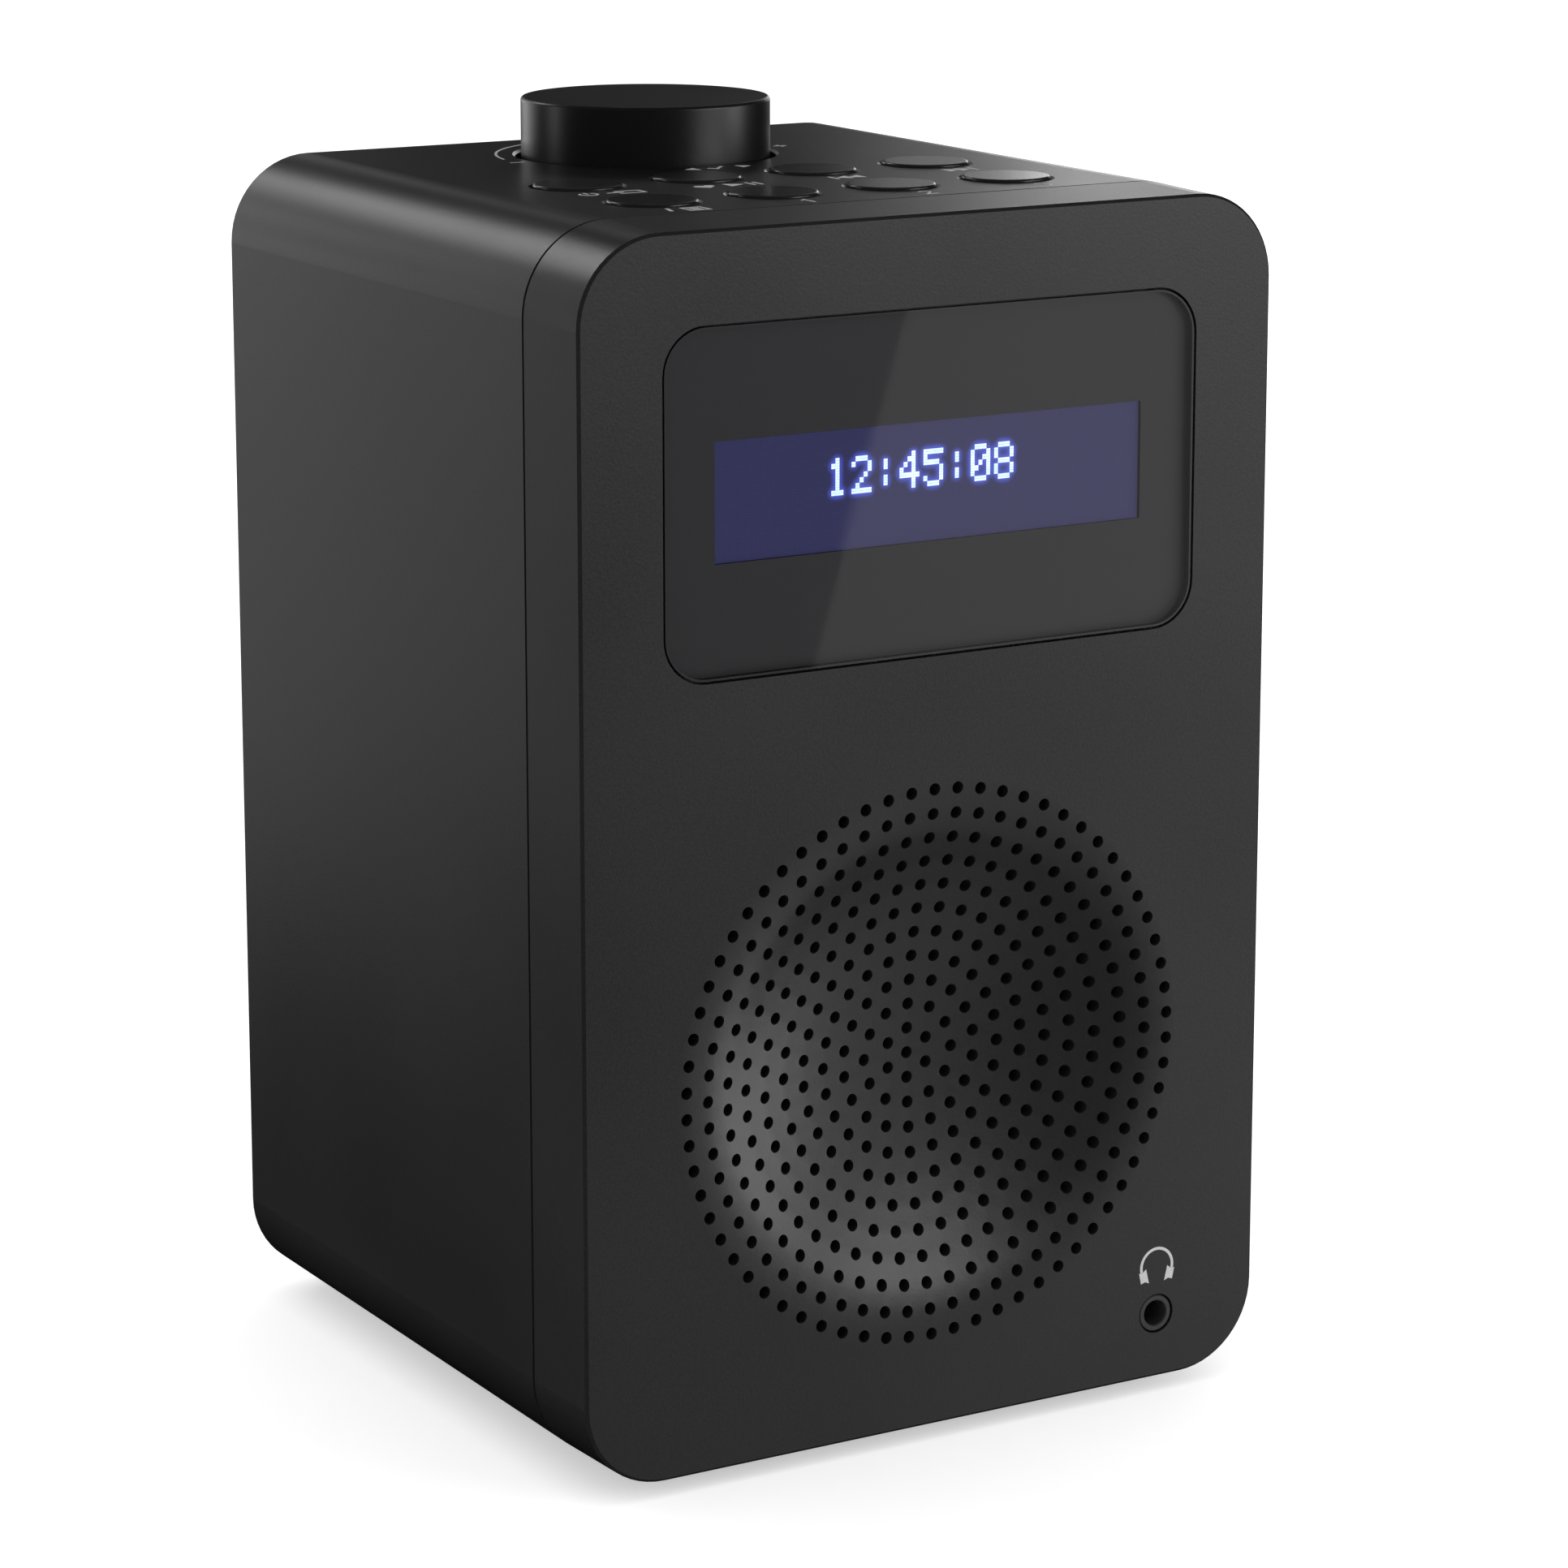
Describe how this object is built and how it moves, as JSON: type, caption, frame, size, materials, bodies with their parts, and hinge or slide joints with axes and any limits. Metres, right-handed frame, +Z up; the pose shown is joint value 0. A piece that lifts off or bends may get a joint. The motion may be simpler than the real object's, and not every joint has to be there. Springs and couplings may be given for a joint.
{
  "type": "tabletop radio",
  "caption": "Upright tabletop radio with a round grille dish, display window, top buttons, press-and-turn knob and folded antenna.",
  "frame": {"origin": "on the table under the middle of the object's box", "axes": "+Z up, the face with the display and grille towards -Y, +X to the right seen from the front"},
  "size_m": [0.1076, 0.1133, 0.1778],
  "materials": {
    "cabinet_plastic": "fine satin grain, charcoal",
    "rubber": "matte",
    "zinc_steel": "zinc plated",
    "window": "polished tinted window",
    "tape": "black foam tape",
    "black_steel": "black",
    "screen_glass": "blue-violet liquid crystal panel",
    "light_guide": "white light guide",
    "circuit_board": "green solder mask",
    "socket_plastic": "moulded black",
    "cone_paper": "black paper pulp",
    "copper": "enamelled copper wire on a former",
    "spider_cloth": "impregnated cloth",
    "ferrite": "sintered ferrite",
    "button_plastic": "fine satin grain",
    "knob_plastic": "satin black",
    "nickel": "nickel plated",
    "heatsink_aluminium": "extruded",
    "antenna_chrome": "bright plated tube",
    "ribbon_film": "white flat flexible cable",
    "wire_sleeve": "sleeved wire"
  },
  "bodies": {
    "cabinet": {"front_cabinet": "cabinet_plastic", "rear_cabinet": "cabinet_plastic", "feet": "rubber", "cabinet_screws": "zinc_steel", "display_window": "window", "window_tape": "tape", "lcd_frame": "black_steel", "lcd_panel": "screen_glass", "display_backlight": "light_guide", "display_board": "circuit_board", "display_screws": "zinc_steel", "jack_sleeve": "socket_plastic", "headphone_jack": "socket_plastic", "jack_board": "circuit_board", "speaker_gasket": "rubber", "speaker_basket": "black_steel", "speaker_screws": "zinc_steel", "speaker_surround": "rubber", "speaker_spider": "spider_cloth", "speaker_top_plate": "zinc_steel", "speaker_magnet": "ferrite", "speaker_yoke": "zinc_steel", "tact_switches": "socket_plastic", "key_board": "circuit_board", "key_board_screws": "zinc_steel", "encoder_body": "socket_plastic", "encoder_nut": "zinc_steel", "main_board": "circuit_board", "main_board_screws": "zinc_steel", "radio_module": "nickel", "amplifier_heatsink": "heatsink_aluminium", "capacitors": "socket_plastic", "dc_inlet": "socket_plastic", "dc_contact": "nickel", "antenna_stud": "nickel", "antenna_nut": "zinc_steel", "display_ribbon": "ribbon_film", "key_ribbon": "ribbon_film", "speaker_leads": "wire_sleeve"},
    "cone": {"speaker_cone": "cone_paper", "dust_cap": "cone_paper", "voice_coil": "copper"},
    "knob_plunger": {"encoder_plunger": "socket_plastic"},
    "knob": {"tuning_knob": "knob_plastic", "encoder_shaft": "nickel"},
    "antenna_swivel": {"antenna_turret": "nickel", "antenna_pin": "nickel"},
    "antenna": {"antenna_tube": "antenna_chrome"},
    "section_1": {"antenna_section_1": "antenna_chrome"},
    "section_2": {"antenna_section_2": "antenna_chrome"},
    "tip": {"antenna_tip": "antenna_chrome"},
    "menu_button": {"menu_button": "button_plastic"},
    "preset_1_button": {"preset_1_button": "button_plastic"},
    "preset_2_button": {"preset_2_button": "button_plastic"},
    "preset_3_button": {"preset_3_button": "button_plastic"},
    "power_button": {"power_button": "button_plastic"},
    "play_button": {"play_button": "button_plastic"},
    "previous_button": {"previous_button": "button_plastic"},
    "next_button": {"next_button": "button_plastic"}
  },
  "joints": [
    {"name": "menu_press", "type": "slide", "parent": "cabinet", "child": "menu_button", "axis": [0, 0, -1], "range_m": [0, 0.0003], "stiffness_N_per_m": 3000},
    {"name": "preset_1_press", "type": "slide", "parent": "cabinet", "child": "preset_1_button", "axis": [0, 0, -1], "range_m": [0, 0.0003], "stiffness_N_per_m": 3000},
    {"name": "preset_2_press", "type": "slide", "parent": "cabinet", "child": "preset_2_button", "axis": [0, 0, -1], "range_m": [0, 0.0003], "stiffness_N_per_m": 3000},
    {"name": "preset_3_press", "type": "slide", "parent": "cabinet", "child": "preset_3_button", "axis": [0, 0, -1], "range_m": [0, 0.0003], "stiffness_N_per_m": 3000},
    {"name": "power_press", "type": "slide", "parent": "cabinet", "child": "power_button", "axis": [0, 0, -1], "range_m": [0, 0.0003], "stiffness_N_per_m": 3000},
    {"name": "play_press", "type": "slide", "parent": "cabinet", "child": "play_button", "axis": [0, 0, -1], "range_m": [0, 0.0003], "stiffness_N_per_m": 3000},
    {"name": "previous_press", "type": "slide", "parent": "cabinet", "child": "previous_button", "axis": [0, 0, -1], "range_m": [0, 0.0003], "stiffness_N_per_m": 3000},
    {"name": "next_press", "type": "slide", "parent": "cabinet", "child": "next_button", "axis": [0, 0, -1], "range_m": [0, 0.0003], "stiffness_N_per_m": 3000},
    {"name": "knob_press", "type": "slide", "parent": "cabinet", "child": "knob_plunger", "axis": [0, 0, -1], "range_m": [0, 0.0005], "stiffness_N_per_m": 8000},
    {"name": "knob_turn", "type": "hinge", "parent": "knob_plunger", "child": "knob", "pos_m": [0, 0.0224, 0.1695], "axis": [0, 0, 1], "continuous": true},
    {"name": "cone_stroke", "type": "slide", "parent": "cabinet", "child": "cone", "axis": [0, -1, 0], "range_m": [-0.001, 0.001], "stiffness_N_per_m": 1500},
    {"name": "antenna_turn", "type": "hinge", "parent": "cabinet", "child": "antenna_swivel", "pos_m": [0.04, 0.0482, 0.1495], "axis": [0, -1, 0], "range_deg": [0, 180]},
    {"name": "antenna_tilt", "type": "hinge", "parent": "antenna_swivel", "child": "antenna", "pos_m": [0.04, 0.0541, 0.1495], "axis": [1, 0, 0], "range_deg": [0, 90]},
    {"name": "section_1_slide", "type": "slide", "parent": "antenna", "child": "section_1", "axis": [0, 0, -1], "range_m": [0, 0.1]},
    {"name": "section_2_slide", "type": "slide", "parent": "section_1", "child": "section_2", "axis": [0, 0, -1], "range_m": [0, 0.1]},
    {"name": "tip_slide", "type": "slide", "parent": "section_2", "child": "tip", "axis": [0, 0, -1], "range_m": [0, 0.1]}
  ]
}
